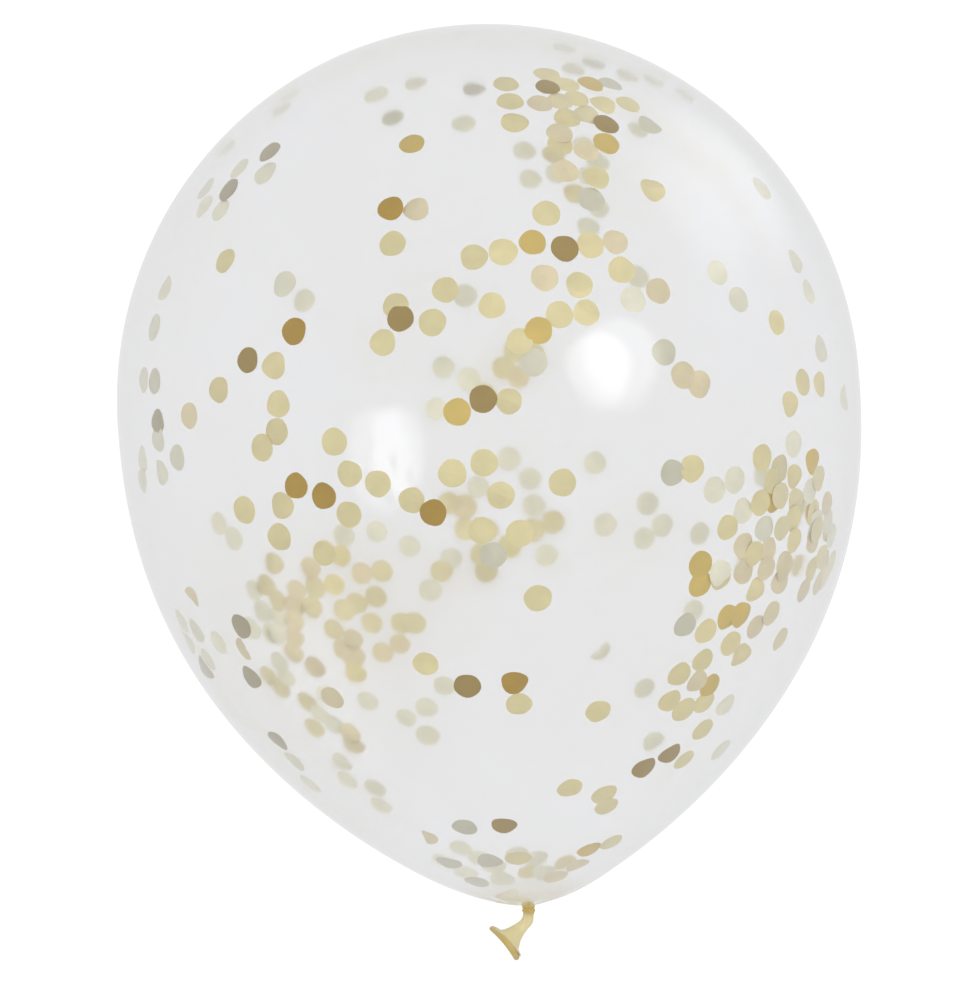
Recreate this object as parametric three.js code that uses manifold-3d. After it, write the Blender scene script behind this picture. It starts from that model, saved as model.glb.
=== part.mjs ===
// A clear latex balloon, blown up and tied, lying loose on its side.
// Millimetres, +Z up. The crown points along +Y and the neck along -Y. The origin is below the
// middle of the balloon, on the surface that it lies on.

import * as THREE from 'three'
import { mergeVertices } from 'three/addons/utils/BufferGeometryUtils.js'
import Module from 'manifold-3d'

// Envelope, measured along its axis from the widest section
const envelopeRadius = 150
const crownHeight = 152.1
const lowerHeight = 204.6
const bottomHeight = 10.6
const taperOverrun = 3.2
const shoulderPower = 2.276
const taperPower = 0.783
const bottomAngle = 83 * THREE.MathUtils.DEG2RAD

// Flat spot, where the wall settles on the surface under it
const flatSpotDepth = 2

// Neck: it leaves the envelope beside the axis, is tied, and bends away to one side
const neckRadius = 2
const neckSideOffset = 1.0
const neckSink = 5
const neckStraightLength = 1.4
const neckBendAngle = 53 * THREE.MathUtils.DEG2RAD
const neckBendRadius = 10

// Tie, a rolled band of gathered latex
const tieLength = 3.1
const tieBulge = 0.3
const pleatCount = 8
const pleatDepth = 0.1

// Stem, between the tie and the flared mouth
const stemLength = 13
const stemWaistRadius = 1.8
const stemMiddleRadius = 2.5
const stemEndRadius = 4.3

// Mouth, a shallow trumpet with a rolled bead round it
const mouthLength = 2.6
const beadRingRadius = 7.5
const beadRadius = 1.2
const mouthWall = 0.6
const mouthDepth = 8
const beadSweep = 0.8 * Math.PI
const mouthSaddle = 0.6

// Facets
const roundSides = 64
const crownSteps = 16
const lowerSteps = 20
const bottomSteps = 4
const neckSides = 32
const neckSteps = 4
const fineSteps = 600
const slopeStep = 0.01
const mergeDistance = 1e-4

const latex = new THREE.MeshStandardMaterial({
  color: 0xe9e6da,
  roughness: 0.12,
  metalness: 0,
  transparent: true,
  opacity: 0.35
})

// Radius of the lower envelope at a distance below the widest section
function lowerRadius(station) {
  const share = station / (lowerHeight + taperOverrun)
  return envelopeRadius * (1 - share ** shoulderPower) ** taperPower
}

// The last stretch, which turns in to meet the neck almost square to the axis
function bottomCurve() {
  const start = lowerHeight - bottomHeight
  const startRadius = lowerRadius(start)
  const startSlope = (lowerRadius(start + slopeStep) - lowerRadius(start - slopeStep)) / (2 * slopeStep)
  const endSlope = -Math.tan(bottomAngle)
  const gap = neckRadius - startRadius - endSlope * bottomHeight
  const cornerDepth = gap / (startSlope - endSlope)
  return new THREE.QuadraticBezierCurve(
    new THREE.Vector2(startRadius, -start),
    new THREE.Vector2(startRadius + startSlope * cornerDepth, -start - cornerDepth),
    new THREE.Vector2(neckRadius, -lowerHeight)
  )
}

// Outline of the envelope from the crown to the neck: x is the radius, y runs along the axis
function envelopeOutline(crownCount, lowerCount, bottomCount) {
  const points = []
  for (let i = 0; i < crownCount; i++) {
    const angle = (i / crownCount) * (Math.PI / 2)
    points.push(new THREE.Vector2(envelopeRadius * Math.sin(angle), crownHeight * Math.cos(angle)))
  }
  for (let i = 0; i < lowerCount; i++) {
    const station = (i / lowerCount) * (lowerHeight - bottomHeight)
    points.push(new THREE.Vector2(lowerRadius(station), -station))
  }
  points.push(...bottomCurve().getPoints(bottomCount))
  points.push(new THREE.Vector2(0, -lowerHeight))
  return points
}

// Centre of mass of the envelope, as a place on its axis
function envelopeCentre(outline) {
  let volume = 0
  let moment = 0
  for (let i = 1; i < outline.length; i++) {
    const above = outline[i - 1]
    const below = outline[i]
    const slice = (above.y - below.y) * (above.x ** 2 + above.x * below.x + below.x ** 2)
    volume += slice
    moment += (slice * (above.y + below.y)) / 2
  }
  return moment / volume
}

// A loose balloon settles on the place of its wall that is nearest to its centre of mass
function restingPlace() {
  const outline = envelopeOutline(fineSteps, fineSteps, bottomSteps)
  const centre = envelopeCentre(outline)
  const sides = outline.filter((point) => point.y < crownHeight / 2 && point.x > envelopeRadius / 2)
  const distanceOf = (point) => Math.hypot(point.x, point.y - centre)
  const nearest = sides.reduce((best, point) => (distanceOf(point) < distanceOf(best) ? point : best))
  return {
    tilt: Math.atan2(centre - nearest.y, nearest.x),
    depth: distanceOf(nearest),
    centre
  }
}

// Route of the neck in the plane of its bend, from inside the envelope to the mouth
function neckRoute() {
  const route = new THREE.Path()
  const bendCentreX = neckSideOffset - neckBendRadius
  const bendY = -lowerHeight - neckStraightLength
  route.moveTo(neckSideOffset, -lowerHeight + neckSink)
  route.lineTo(neckSideOffset, bendY)
  route.absarc(bendCentreX, bendY, neckBendRadius, 0, -neckBendAngle, true)
  const bendEnd = new THREE.Vector2(
    bendCentreX + neckBendRadius * Math.cos(neckBendAngle),
    bendY - neckBendRadius * Math.sin(neckBendAngle)
  )
  const heading = new THREE.Vector2(-Math.sin(neckBendAngle), -Math.cos(neckBendAngle))
  const runLength = neckSink + tieLength + stemLength + mouthLength + beadRadius + mouthSaddle
  const last = bendEnd.clone().addScaledVector(heading, runLength)
  route.lineTo(last.x, last.y)
  return route
}

// Section of the neck: x is the radius, y the distance along its route below the envelope
function neckOutline() {
  const stemStart = tieLength
  const stemEnd = tieLength + stemLength
  const beadPlace = stemEnd + mouthLength
  const outline = new THREE.Path()
  outline.moveTo(0, -neckSink)
  outline.lineTo(neckRadius, -neckSink)
  outline.lineTo(neckRadius, 0)
  outline.quadraticCurveTo(neckRadius + tieBulge, tieLength / 2, stemWaistRadius, stemStart)
  outline.splineThru([
    new THREE.Vector2(stemMiddleRadius, stemStart + stemLength / 2),
    new THREE.Vector2(stemEndRadius, stemEnd),
    new THREE.Vector2(beadRingRadius, beadPlace - beadRadius)
  ])
  outline.absarc(beadRingRadius, beadPlace, beadRadius, -Math.PI / 2, beadSweep, false)
  outline.splineThru([
    new THREE.Vector2(stemEndRadius - mouthWall, stemEnd + mouthWall),
    new THREE.Vector2(0, beadPlace - mouthDepth)
  ])
  return outline
}

// The neck turned as a straight piece, gathered at the tie, then laid along its route
function neckGeometry() {
  const geometry = new THREE.LatheGeometry(neckOutline().getPoints(neckSteps).reverse(), neckSides)
  const route = neckRoute()
  const routeLength = route.getLength()
  const positions = geometry.attributes.position
  for (let i = 0; i < positions.count; i++) {
    const x = positions.getX(i)
    const along = positions.getY(i)
    const z = positions.getZ(i)
    const gathering = Math.exp(-(((along - tieLength / 2) / tieLength) ** 2))
    const pleat = 1 + pleatDepth * gathering * Math.cos(pleatCount * Math.atan2(z, x))
    const saddle = (mouthSaddle * (x * x - z * z)) / (beadRingRadius * beadRingRadius)
    const share = THREE.MathUtils.clamp((along + neckSink) / routeLength, 0, 1)
    const heading = route.getTangentAt(share)
    const place = route.getPointAt(share).addScaledVector(heading, saddle)
    positions.setXYZ(i, place.x - heading.y * x * pleat, place.y + heading.x * x * pleat, z * pleat)
  }
  return geometry
}

const manifold = await Module()
manifold.setup()

// A geometry as a closed solid, with its shared corners merged and its collapsed facets left out
function solidOf(geometry) {
  const bare = geometry.clone()
  bare.deleteAttribute('normal')
  bare.deleteAttribute('uv')
  const merged = mergeVertices(bare, mergeDistance)
  const corners = merged.index.array
  const kept = []
  for (let i = 0; i < corners.length; i += 3) {
    const [a, b, c] = corners.slice(i, i + 3)
    if (a !== b && b !== c && c !== a) kept.push(a, b, c)
  }
  return new manifold.Manifold(new manifold.Mesh({
    numProp: 3,
    vertProperties: new Float32Array(merged.attributes.position.array),
    triVerts: new Uint32Array(kept)
  }))
}

// A solid as a geometry with flat facets
function geometryOf(solid) {
  const mesh = solid.getMesh()
  const geometry = new THREE.BufferGeometry()
  geometry.setAttribute('position', new THREE.BufferAttribute(mesh.vertProperties, 3))
  geometry.setIndex(new THREE.BufferAttribute(mesh.triVerts, 1))
  geometry.computeVertexNormals()
  return geometry
}

// The whole balloon: envelope and neck as one piece, laid on its side and flattened where it rests
function balloonGeometry() {
  const rest = restingPlace()
  const outline = envelopeOutline(crownSteps, lowerSteps, bottomSteps)
  const envelope = new THREE.LatheGeometry(outline.reverse(), roundSides)
  const neck = neckGeometry()
  const width = 4 * envelopeRadius
  const ground = new THREE.BoxGeometry(width, width, width).translate(0, 0, -width / 2)
  for (const piece of [envelope, neck]) {
    piece.translate(0, -rest.centre, 0)
    piece.rotateX(rest.tilt)
    piece.translate(0, 0, rest.depth - flatSpotDepth)
  }
  const whole = solidOf(envelope).add(solidOf(neck)).subtract(solidOf(ground))
  const geometry = geometryOf(whole)
  geometry.computeBoundingBox()
  const middle = geometry.boundingBox.getCenter(new THREE.Vector3())
  geometry.translate(0, -middle.y, 0)
  return geometry
}

const balloon = new THREE.Mesh(balloonGeometry(), latex)
balloon.name = 'balloon'

const group = new THREE.Group()
group.add(balloon)

export default group
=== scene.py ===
"""Looks of a clear latex balloon with foil confetti, lying on its side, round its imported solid.

Everything is in metres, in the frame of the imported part: +Z up, the crown along +Y, the neck
along -Y. A place on the balloon is first worked out in its own frame, whose Y axis is the
balloon's axis with the widest section at 0, and is then laid down with the balloon.
"""

import logging
import math
from dataclasses import dataclass
from enum import Enum
from typing import Callable, Sequence

import bmesh
import bpy
import numpy as np
from mathutils import Matrix, Vector
from mathutils.bvhtree import BVHTree

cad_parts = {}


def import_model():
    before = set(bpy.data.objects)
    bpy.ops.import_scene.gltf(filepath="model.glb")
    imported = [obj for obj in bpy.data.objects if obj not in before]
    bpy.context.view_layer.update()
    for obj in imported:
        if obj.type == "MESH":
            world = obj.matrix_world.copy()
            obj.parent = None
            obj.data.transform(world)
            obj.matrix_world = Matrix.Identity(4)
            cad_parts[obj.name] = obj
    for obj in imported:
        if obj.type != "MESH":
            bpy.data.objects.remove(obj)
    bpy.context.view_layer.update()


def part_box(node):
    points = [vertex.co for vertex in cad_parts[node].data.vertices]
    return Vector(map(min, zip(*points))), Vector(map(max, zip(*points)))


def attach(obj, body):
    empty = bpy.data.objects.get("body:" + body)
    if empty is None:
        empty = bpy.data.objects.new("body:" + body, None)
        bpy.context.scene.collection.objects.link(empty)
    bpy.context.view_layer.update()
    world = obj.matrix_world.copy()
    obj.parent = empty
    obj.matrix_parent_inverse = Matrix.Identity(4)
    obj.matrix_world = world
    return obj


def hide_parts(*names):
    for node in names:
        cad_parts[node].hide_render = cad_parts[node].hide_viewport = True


LOG = logging.getLogger("confetti_balloon")
BODY = "root"
SOLID = "balloon"

# The picture that the camera is set for, in pixels
PICTURE_WIDTH = 980
PICTURE_HEIGHT = 981

# The balloon in that picture: its widest section, its lean, and half its width
WIDEST_X = 488.5
WIDEST_Y = 401.7
LEAN = math.radians(4.245)
HALF_WIDTH = 371.7


@dataclass(frozen=True)
class BalloonForm:
    """Sizes of the blown-up envelope, which is round about its axis.

    The crown is half an ellipse. Below the widest section the radius follows a power curve,
    and the last stretch turns in to meet the neck.
    """

    radius: float = 0.150
    crown_height: float = 0.1521
    lower_height: float = 0.2046
    bottom_height: float = 0.0106
    taper_overrun: float = 0.0032
    shoulder_power: float = 2.276
    taper_power: float = 0.783
    bottom_angle: float = math.radians(83)
    neck_radius: float = 0.0020
    flat_spot_depth: float = 0.002
    slope_step: float = 1e-5
    crown_steps: int = 200
    rest_steps: int = 600
    bottom_share: int = 8
    least_bottom_steps: int = 8

    def lower_radius(self, station: float) -> float:
        """Radius at a distance below the widest section."""
        share = station / (self.lower_height + self.taper_overrun)
        return self.radius * (1 - share**self.shoulder_power) ** self.taper_power

    def bottom_points(self, count: int) -> list[tuple[float, float]]:
        """Points of the stretch that turns in to the neck.

        Args:
            count: How many steps the stretch has.

        Returns:
            Pairs of radius and height along the axis, ending at the neck.
        """
        step = self.slope_step
        start = self.lower_height - self.bottom_height
        start_radius = self.lower_radius(start)
        start_slope = (self.lower_radius(start + step) - self.lower_radius(start - step)) / (2 * step)
        end_slope = -math.tan(self.bottom_angle)
        gap = self.neck_radius - start_radius - end_slope * self.bottom_height
        depth = gap / (start_slope - end_slope)
        corner = Vector((start_radius + start_slope * depth, -start - depth))
        first = Vector((start_radius, -start))
        last = Vector((self.neck_radius, -self.lower_height))
        points = []
        for i in range(count + 1):
            t = i / count
            place = (1 - t) ** 2 * first + 2 * (1 - t) * t * corner + t**2 * last
            points.append((place.x, place.y))
        return points

    def outline(self, steps: int) -> list[tuple[float, float]]:
        """Outline of the envelope.

        Args:
            steps: How many steps the crown and the lower curve have each.

        Returns:
            Pairs of radius and height along the axis, from the crown to the neck.
        """
        points = []
        for i in range(steps):
            angle = i / steps * math.pi / 2
            points.append((self.radius * math.sin(angle), self.crown_height * math.cos(angle)))
        for i in range(steps):
            station = i / steps * (self.lower_height - self.bottom_height)
            points.append((self.lower_radius(station), -station))
        return points + self.bottom_points(max(self.least_bottom_steps, steps // self.bottom_share))

    def rest(self) -> tuple[float, float, float]:
        """Where a loose balloon settles: on the place of its wall nearest to its centre of mass.

        Returns:
            The tilt of its axis, the height of its centre of mass, and that centre's place on
            the axis.
        """
        points = np.array(self.outline(self.rest_steps))
        above, below = points[:-1], points[1:]
        squares = above[:, 0] ** 2 + above[:, 0] * below[:, 0] + below[:, 0] ** 2
        slices = (above[:, 1] - below[:, 1]) * squares
        centre = float((slices * (above[:, 1] + below[:, 1])).sum() / 2 / slices.sum())
        sides = points[(points[:, 1] < self.crown_height / 2) & (points[:, 0] > self.radius / 2)]
        distances = np.hypot(sides[:, 0], sides[:, 1] - centre)
        nearest = sides[distances.argmin()]
        return math.atan2(centre - nearest[1], nearest[0]), float(distances.min()), centre


class Lie:
    """How the balloon lies: the way from its own frame to the part's frame."""

    def __init__(self, form: BalloonForm, solid_box: tuple[Vector, Vector]) -> None:
        """Lays the balloon down so that its crown ends where the solid's does.

        Args:
            form: The balloon's sizes.
            solid_box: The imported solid's lowest and highest corners.
        """
        tilt, height, centre = form.rest()
        turned = Matrix.Rotation(tilt, 4, "X") @ Matrix.Translation((0, -centre, 0))
        outline = np.array(form.outline(form.crown_steps))
        reach = outline[:, 1] - centre
        crown_y = float((reach * math.cos(tilt) + outline[:, 0] * math.sin(tilt)).max())
        shift = Matrix.Translation((0, solid_box[1].y - crown_y, height - form.flat_spot_depth))
        self.matrix = shift @ turned

    def place(self, point: Sequence[float]) -> Vector:
        """A point of the balloon's own frame, in the part's frame."""
        return self.matrix @ Vector(point)

    def heading(self, direction: Sequence[float]) -> Vector:
        """A direction of the balloon's own frame, in the part's frame."""
        return self.matrix.to_3x3() @ Vector(direction)

    def lay(self, places: np.ndarray) -> np.ndarray:
        """Points of the balloon's own frame, in the part's frame."""
        matrix = np.array(self.matrix)
        return places @ matrix[:3, :3].T + matrix[:3, 3]


@dataclass(frozen=True)
class Sight:
    """The camera's own directions, and the scale that it draws the balloon at.

    It looks square to the balloon's axis from above, turned so that the axis leans in the
    picture as much as LEAN says.
    """

    lie: Lie
    form: BalloonForm
    distance: float = 1.5
    sensor: float = 36.0
    clip_start: float = 0.05
    clip_end: float = 50.0

    @property
    def back(self) -> Vector:
        """Direction from the balloon to the camera."""
        return self.lie.heading((0, 0, 1))

    @property
    def right(self) -> Vector:
        """The picture's right."""
        return self.lie.heading((math.cos(LEAN), -math.sin(LEAN), 0))

    @property
    def up(self) -> Vector:
        """The picture's up."""
        return self.lie.heading((math.sin(LEAN), math.cos(LEAN), 0))

    @property
    def scale(self) -> float:
        """Pixels in a metre of the plane that holds the balloon's axis."""
        seen = self.form.radius / math.sqrt(1 - (self.form.radius / self.distance) ** 2)
        return HALF_WIDTH / seen

    @property
    def eye(self) -> Vector:
        """The camera's place."""
        across = (PICTURE_WIDTH / 2 - WIDEST_X) / self.scale
        down = (PICTURE_HEIGHT / 2 - WIDEST_Y) / self.scale
        aim = self.lie.place((0, 0, 0)) + self.right * across - self.up * down
        return aim + self.back * self.distance

    def ray(self, x: float, y: float) -> Vector:
        """Direction from the camera through a pixel of the picture."""
        reach = self.scale * self.distance
        across = self.right * (x - PICTURE_WIDTH / 2)
        down = self.up * (y - PICTURE_HEIGHT / 2)
        return (across - down - self.back * reach).normalized()

    def aside(self, angle: float, turn: float) -> Vector:
        """A direction that lies off the line to the camera.

        Args:
            angle: How far off that line.
            turn: Where round it, counted from the picture's right towards its top.

        Returns:
            The direction as a unit vector.
        """
        across = self.right * math.cos(turn) + self.up * math.sin(turn)
        return self.back * math.cos(angle) + across * math.sin(angle)

    def camera(self) -> bpy.types.Object:
        """Makes the camera and gives it to the scene."""
        data = bpy.data.cameras.new("camera")
        data.sensor_width = self.sensor
        data.lens = self.scale * self.distance * self.sensor / max(PICTURE_WIDTH, PICTURE_HEIGHT)
        data.clip_start = self.clip_start
        data.clip_end = self.clip_end
        camera = bpy.data.objects.new("camera", data)
        turn = Matrix((self.right, self.up, self.back)).transposed()
        camera.matrix_world = Matrix.Translation(self.eye) @ turn.to_4x4()
        bpy.context.scene.collection.objects.link(camera)
        bpy.context.scene.camera = camera
        return camera


class Tree:
    """A node tree under construction, for a material or for geometry."""

    def __init__(self, tree: bpy.types.NodeTree) -> None:
        """Starts on an empty tree.

        Args:
            tree: The tree to build in. Its nodes are removed.
        """
        self.tree = tree
        tree.nodes.clear()

    def add(self, kind: str, settings: dict | None = None, **inputs: object) -> bpy.types.Node:
        """Adds a node and sets or links its inputs.

        Args:
            kind: The node's type name.
            settings: Properties of the node that aren't sockets.
            **inputs: Socket names, with underscores for spaces. A value is a constant, or a
                socket to link from. A name such as in_1 is a socket by its number.

        Returns:
            The node.
        """
        node = self.tree.nodes.new(kind)
        for name, value in (settings or {}).items():
            setattr(node, name, value)
        for name, value in inputs.items():
            numbered = name.startswith("in_")
            socket = node.inputs[int(name[3:])] if numbered else node.inputs[name.replace("_", " ")]
            if isinstance(value, bpy.types.NodeSocket):
                self.tree.links.new(value, socket)
            else:
                socket.default_value = value
        return node

    def math(self, operation: str, *values: object) -> bpy.types.NodeSocket:
        """Adds a Math node and gives its result."""
        named = {f"in_{i}": value for i, value in enumerate(values)}
        return self.add("ShaderNodeMath", {"operation": operation}, **named).outputs[0]

    def vector(self, operation: str, *values: object) -> bpy.types.NodeSocket:
        """Adds a Vector Math node and gives its result."""
        named = {f"in_{i}": value for i, value in enumerate(values)}
        node = self.add("ShaderNodeVectorMath", {"operation": operation}, **named)
        return next(socket for socket in node.outputs if socket.enabled)

    def named(self, name: str, kind: str) -> bpy.types.NodeSocket:
        """Adds a Named Attribute node and gives its value."""
        node = self.add("GeometryNodeInputNamedAttribute", {"data_type": kind}, Name=name)
        return next(socket for socket in node.outputs if socket.enabled)

    def noise(self, place: bpy.types.NodeSocket, scale: float, detail: float) -> bpy.types.NodeSocket:
        """Adds a noise and gives its value."""
        return self.add("ShaderNodeTexNoise", Vector=place, Scale=scale, Detail=detail).outputs[0]

    def bump(self, height: bpy.types.NodeSocket, strength: float, distance: float) -> bpy.types.NodeSocket:
        """Adds a bump and gives the normal that it bends."""
        return self.add("ShaderNodeBump", Strength=strength, Distance=distance, Height=height).outputs[0]

    def surface(self, **inputs: object) -> None:
        """Adds a Principled shader with these inputs, and the material's output."""
        shader = self.add("ShaderNodeBsdfPrincipled", **inputs)
        self.add("ShaderNodeOutputMaterial", Surface=shader.outputs[0])


def new_material(name: str) -> tuple[bpy.types.Material, Tree]:
    """Makes a material with an empty node tree."""
    material = bpy.data.materials.new(name)
    material.use_nodes = True
    return material, Tree(material.node_tree)


def mesh_object(name: str, points: np.ndarray, edges: list, faces: list) -> bpy.types.Object:
    """Makes an object from plain points, edges and faces, and links it to the scene."""
    mesh = bpy.data.meshes.new(name)
    mesh.from_pydata([tuple(map(float, point)) for point in points], edges, faces)
    piece = bpy.data.objects.new(name, mesh)
    bpy.context.scene.collection.objects.link(piece)
    return piece


def settle(piece: bpy.types.Object) -> None:
    """Turns what the modifiers of a piece make into its plain mesh, and removes them."""
    graph = bpy.context.evaluated_depsgraph_get()
    made = bpy.data.meshes.new_from_object(piece.evaluated_get(graph))
    piece.modifiers.clear()
    old = piece.data
    piece.data = made
    bpy.data.meshes.remove(old)
    made.name = piece.name


def move_points(piece: bpy.types.Object, move: Callable[[np.ndarray], np.ndarray]) -> None:
    """Moves all points of a piece by a function of their places."""
    mesh = piece.data
    places = np.empty(len(mesh.vertices) * 3)
    mesh.vertices.foreach_get("co", places)
    moved = move(places.reshape(-1, 3))
    mesh.vertices.foreach_set("co", moved.ravel())
    mesh.update()


def turn_outwards(piece: bpy.types.Object) -> None:
    """Makes every face of a piece point outwards."""
    shape = bmesh.new()
    shape.from_mesh(piece.data)
    bmesh.ops.recalc_face_normals(shape, faces=shape.faces)
    shape.to_mesh(piece.data)
    shape.free()


def wear(piece: bpy.types.Object, material: bpy.types.Material) -> None:
    """Gives a piece one material."""
    piece.data.materials.clear()
    piece.data.materials.append(material)


def store(mesh: bpy.types.Mesh, name: str, kind: str, key: str, values: np.ndarray) -> None:
    """Stores one value for each point of a mesh."""
    attribute = mesh.attributes.new(name, kind, "POINT")
    attribute.data.foreach_set(key, values.astype(np.float32).ravel())


def new_group(name: str, inputs: dict[str, str], output: str) -> bpy.types.NodeTree:
    """Makes a Geometry Nodes group.

    Args:
        name: The group's name.
        inputs: Kinds of its inputs by their names.
        output: Name of its one output, a geometry.

    Returns:
        The group, with no nodes yet.
    """
    group = bpy.data.node_groups.new(name, "GeometryNodeTree")
    for title, kind in inputs.items():
        group.interface.new_socket(title, in_out="INPUT", socket_type=f"NodeSocket{kind}")
    group.interface.new_socket(output, in_out="OUTPUT", socket_type="NodeSocketGeometry")
    return group


def apply_nodes(piece: bpy.types.Object, group: bpy.types.NodeTree, values: dict[str, object]) -> None:
    """Runs a Geometry Nodes group on a piece and keeps its result as the piece's plain mesh.

    Args:
        piece: The piece.
        group: The group.
        values: What its inputs are set to, by their names.
    """
    modifier = piece.modifiers.new(group.name, "NODES")
    modifier.node_group = group
    for item in group.interface.items_tree:
        if item.in_out == "INPUT" and item.name in values:
            modifier[item.identifier] = values[item.name]
    settle(piece)


def smooth_curve(points: Sequence[tuple[float, float]], steps: int = 12) -> list[tuple[float, float]]:
    """Runs a smooth curve through points.

    Args:
        points: The points, in order.
        steps: How many steps each stretch between two points gets.

    Returns:
        The curve's points, the given ones among them.
    """
    given = [Vector(point) for point in points]
    padded = [2 * given[0] - given[1], *given, 2 * given[-1] - given[-2]]
    curve = []
    for a, b, c, d in zip(padded, padded[1:], padded[2:], padded[3:]):
        for i in range(steps):
            t = i / steps
            place = b + (c - a) * (t / 2) + (2 * a - 5 * b + 4 * c - d) * (t * t / 2)
            place += (3 * b - a - 3 * c + d) * (t * t * t / 2)
            curve.append((place.x, place.y))
    curve.append(tuple(given[-1]))
    return curve


class TurnedWall:
    """A wall turned round the balloon's axis from an outline, made by Geometry Nodes."""

    MERGE_DISTANCE = 1e-7

    def __init__(self, sides: int, rows: int) -> None:
        """Builds the node group.

        Args:
            sides: Steps round the axis.
            rows: Steps along the outline.
        """
        self.sides = sides
        self.rows = rows
        inputs = {"Outline": "Geometry", "Sides": "Int", "Rows": "Int", "Finish": "Material"}
        self.group = new_group("turned_wall", inputs, "Wall")
        self._wire(Tree(self.group))

    def _wire(self, tree: Tree) -> None:
        """Lays a grid round the axis, with its rows spread along the outline."""
        given = tree.add("NodeGroupInput").outputs
        outline = tree.add("GeometryNodeMeshToCurve", Mesh=given["Outline"]).outputs[0]
        across = tree.math("ADD", given["Sides"], 1)
        along = tree.math("ADD", given["Rows"], 1)
        grid = tree.add("GeometryNodeMeshGrid", Size_X=1.0, Size_Y=1.0, Vertices_X=across, Vertices_Y=along)
        place = tree.add("GeometryNodeInputPosition").outputs[0]
        parts = tree.add("ShaderNodeSeparateXYZ", Vector=place).outputs
        angle = tree.math("MULTIPLY", parts["X"], 2 * math.pi)
        share = tree.math("ADD", parts["Y"], 0.5)
        sample = tree.add("GeometryNodeSampleCurve", {"mode": "FACTOR"}, Curves=outline, Factor=share)
        spot = tree.add("ShaderNodeSeparateXYZ", Vector=sample.outputs["Position"]).outputs
        side = tree.math("MULTIPLY", spot["X"], tree.math("COSINE", angle))
        depth = tree.math("MULTIPLY", spot["X"], tree.math("SINE", angle))
        turned = tree.add("ShaderNodeCombineXYZ", X=side, Y=spot["Y"], Z=depth).outputs[0]
        wall = tree.add("GeometryNodeSetPosition", Geometry=grid.outputs[0], Position=turned).outputs[0]
        merge = tree.add("GeometryNodeMergeByDistance", Geometry=wall, Distance=self.MERGE_DISTANCE)
        smooth = tree.add("GeometryNodeSetShadeSmooth", Geometry=merge.outputs[0]).outputs[0]
        plain = tree.add("GeometryNodeRealizeInstances", Geometry=smooth).outputs[0]
        dressed = tree.add("GeometryNodeSetMaterial", Geometry=plain, Material=given["Finish"])
        tree.add("NodeGroupOutput", Wall=dressed.outputs[0])

    def make(self, name: str, outline: list, finish: bpy.types.Material) -> bpy.types.Object:
        """Turns an outline into a wall.

        Args:
            name: The piece's name.
            outline: Pairs of radius and height along the axis.
            finish: The wall's material.

        Returns:
            The piece, as a plain mesh in the balloon's own frame.
        """
        points = np.array([(radius, height, 0) for radius, height in outline])
        piece = mesh_object(name, points, [(i, i + 1) for i in range(len(outline) - 1)], [])
        apply_nodes(piece, self.group, {"Sides": self.sides, "Rows": self.rows, "Finish": finish})
        turn_outwards(piece)
        return piece


Colour = tuple[float, float, float]


def colour_ramp(tree: Tree, value: bpy.types.NodeSocket, stops: dict[float, Colour]) -> bpy.types.NodeSocket:
    """Adds a colour ramp.

    Args:
        tree: The tree to build in.
        value: What is looked up.
        stops: Linear colours by their position, from the lowest up.

    Returns:
        The colour.
    """
    ramp = tree.add("ShaderNodeValToRGB", in_0=value)
    elements = ramp.color_ramp.elements
    while len(elements) < len(stops):
        elements.new(1.0)
    for element, (position, colour) in zip(elements, stops.items()):
        element.position = position
        element.color = (*colour, 1)
    return ramp.outputs[0]


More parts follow.
